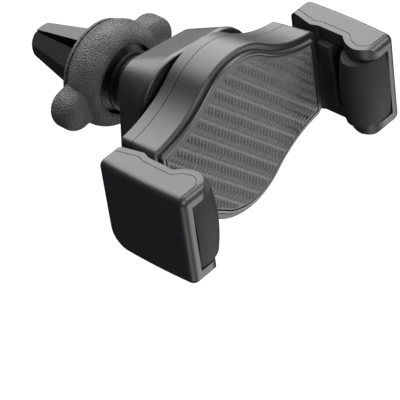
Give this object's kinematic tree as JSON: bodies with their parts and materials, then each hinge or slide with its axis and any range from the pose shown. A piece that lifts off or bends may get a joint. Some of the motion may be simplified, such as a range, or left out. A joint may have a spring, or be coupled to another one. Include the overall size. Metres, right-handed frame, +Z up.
{
  "type": "car phone holder",
  "caption": "Car phone holder: cradle with sprung side jaws on a ball neck and a twist-lock clip for air vent blades.",
  "frame": {"origin": "middle of the finger grip on the vent blade, on the clip's axis", "axes": "+Y along the clip into the vent, -Y towards the driver, +Z up, +X to the driver's right"},
  "size_m": [0.0858, 0.0963, 0.0528],
  "materials": {
    "shell_plastic": "fine satin grain",
    "gloss_trim": "polished",
    "clip_plastic": "fine satin grain",
    "knob_rubber": "grained",
    "jaw_rubber": "soft matt",
    "pad_rubber": "semi-gloss with raised bumps",
    "inner_plastic": "moulded",
    "steel": "plated"
  },
  "bodies": {
    "clip": {"clip_body": "clip_plastic", "ball_stud": "clip_plastic"},
    "clamp_sleeve": {"clamp_sleeve": "inner_plastic"},
    "clamp_nut": {"nut_core": "clip_plastic", "knob_grip": "knob_rubber"},
    "ball_liner": {"ball_liner": "inner_plastic"},
    "neck_housing": {"neck_housing": "shell_plastic", "socket_seat": "inner_plastic", "seat_screws": "steel", "snap_ring": "steel"},
    "cradle": {"back_cover": "shell_plastic", "front_shell": "shell_plastic", "trim_ring": "gloss_trim", "face_pad": "pad_rubber", "shell_screws": "steel", "swivel_washer": "inner_plastic", "return_spring": "steel", "pinion_clip": "steel"},
    "pinion": {"pinion": "inner_plastic"},
    "left_jaw": {"left_arm": "clip_plastic", "left_jaw_cover": "shell_plastic", "left_jaw_frame": "shell_plastic", "left_jaw_pad": "jaw_rubber", "left_jaw_screws": "steel"},
    "right_jaw": {"right_arm": "clip_plastic", "right_jaw_cover": "shell_plastic", "right_jaw_frame": "shell_plastic", "right_jaw_pad": "jaw_rubber", "right_jaw_screws": "steel"}
  },
  "joints": [
    {"name": "sleeve_slide", "type": "slide", "parent": "clip", "child": "clamp_sleeve", "axis": [0, -1, 0], "range_m": [0, 0.003]},
    {"name": "clamp_nut_turn", "type": "hinge", "parent": "clamp_sleeve", "child": "clamp_nut", "pos_m": [0, -0.01862, 0], "axis": [0, -1, 0], "range_deg": [0, 360]},
    {"name": "ball_tilt", "type": "hinge", "parent": "clip", "child": "ball_liner", "pos_m": [0, -0.04142, 0], "axis": [1, 0, 0], "range_deg": [-20, 20]},
    {"name": "ball_pan", "type": "hinge", "parent": "ball_liner", "child": "neck_housing", "pos_m": [0, -0.04142, 0], "axis": [0, 0, 1], "range_deg": [-20, 20]},
    {"name": "cradle_turn", "type": "hinge", "parent": "neck_housing", "child": "cradle", "pos_m": [0, -0.05382, 0], "axis": [0, 1, 0], "continuous": true},
    {"name": "left_jaw_slide", "type": "slide", "parent": "cradle", "child": "left_jaw", "axis": [-1, 0, 0], "range_m": [0, 0.012], "stiffness_N_per_m": 250, "springref_m": -0.02},
    {"name": "right_jaw_slide", "type": "slide", "parent": "cradle", "child": "right_jaw", "axis": [1, 0, 0], "range_m": [0, 0.012]},
    {"name": "pinion_turn", "type": "hinge", "parent": "cradle", "child": "pinion", "pos_m": [0, -0.05912, 0], "axis": [0, -1, 0], "range_deg": [0, 143.44]}
  ],
  "couplings": [
    {"joint": "sleeve_slide", "follows": "clamp_nut_turn", "m_per_rad": 0.00047746},
    {"joint": "right_jaw_slide", "follows": "left_jaw_slide", "ratio": 1},
    {"joint": "pinion_turn", "follows": "left_jaw_slide", "rad_per_m": 208.33}
  ]
}
